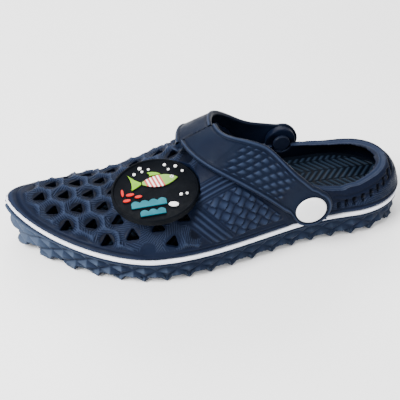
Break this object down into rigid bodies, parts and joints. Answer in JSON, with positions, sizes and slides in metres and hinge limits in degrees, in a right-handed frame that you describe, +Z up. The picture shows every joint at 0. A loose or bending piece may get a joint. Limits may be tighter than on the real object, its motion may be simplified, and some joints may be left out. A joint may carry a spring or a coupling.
{
  "type": "garden clog",
  "caption": "Moulded foam garden clog for the left foot with vented toe, lugged sole, swinging heel strap on two rivets and a round plug-in charm.",
  "frame": {"origin": "on the ground under the middle of the shoe's overall length and width, at the flat tips of the lugs", "axes": "-X towards the toe, +X towards the heel, -Y to the outer side of the foot, +Z up"},
  "size_m": [0.2596, 0.098, 0.0806],
  "materials": {
    "navy_sole": "moulded foam, satin",
    "navy_core": "plain foam",
    "navy_foam": "moulded foam with embossed relief, satin sheen",
    "navy_strap": "moulded foam, satin, scale relief",
    "navy_bed": "textured foam, matt",
    "white_stripe": "painted white foam, satin",
    "white_rivet": "moulded plastic, semi gloss",
    "navy_post": "moulded plastic, semi gloss",
    "black_vinyl": "soft vinyl, satin",
    "green_vinyl": "soft vinyl, satin",
    "red_vinyl": "soft vinyl, satin",
    "white_vinyl": "soft vinyl, satin",
    "teal_vinyl": "soft vinyl, satin"
  },
  "bodies": {
    "shoe": {"outsole": "navy_sole", "midsole": "navy_core", "foxing_stripe": "white_stripe", "footbed": "navy_bed", "upper_shell": "navy_foam", "rivet_cap_outer": "white_rivet", "rivet_cap_inner": "white_rivet", "rivet_post_outer": "navy_post", "rivet_post_inner": "navy_post"},
    "strap": {"heel_strap": "navy_strap"},
    "charm": {"charm_plate": "black_vinyl", "charm_plug": "black_vinyl", "fish_body": "green_vinyl", "fish_tail": "green_vinyl", "fish_fin": "green_vinyl", "sea_wave_front": "teal_vinyl", "sea_wave_back": "teal_vinyl", "pebble": "white_vinyl", "bubble_1": "white_vinyl", "bubble_2": "white_vinyl", "bubble_3": "white_vinyl", "bubble_4": "white_vinyl", "bubble_5": "white_vinyl", "bubble_6": "white_vinyl", "bubble_7": "white_vinyl", "bubble_8": "white_vinyl", "bubble_9": "white_vinyl", "bubble_10": "white_vinyl", "coral_dash_1": "red_vinyl", "coral_dash_2": "red_vinyl", "coral_dash_3": "red_vinyl", "coral_dash_4": "red_vinyl"}
  },
  "joints": [
    {"name": "strap_pivot", "type": "hinge", "parent": "shoe", "child": "strap", "pos_m": [0.0575, 0.0058, 0.03487], "axis": [0, 1, 0], "range_deg": [0, 108]},
    {"name": "charm_swivel", "type": "hinge", "parent": "shoe", "child": "charm", "pos_m": [-0.0374, -0.02218, 0.05424], "axis": [-0.0694, -0.1043, 0.9921], "continuous": true}
  ]
}
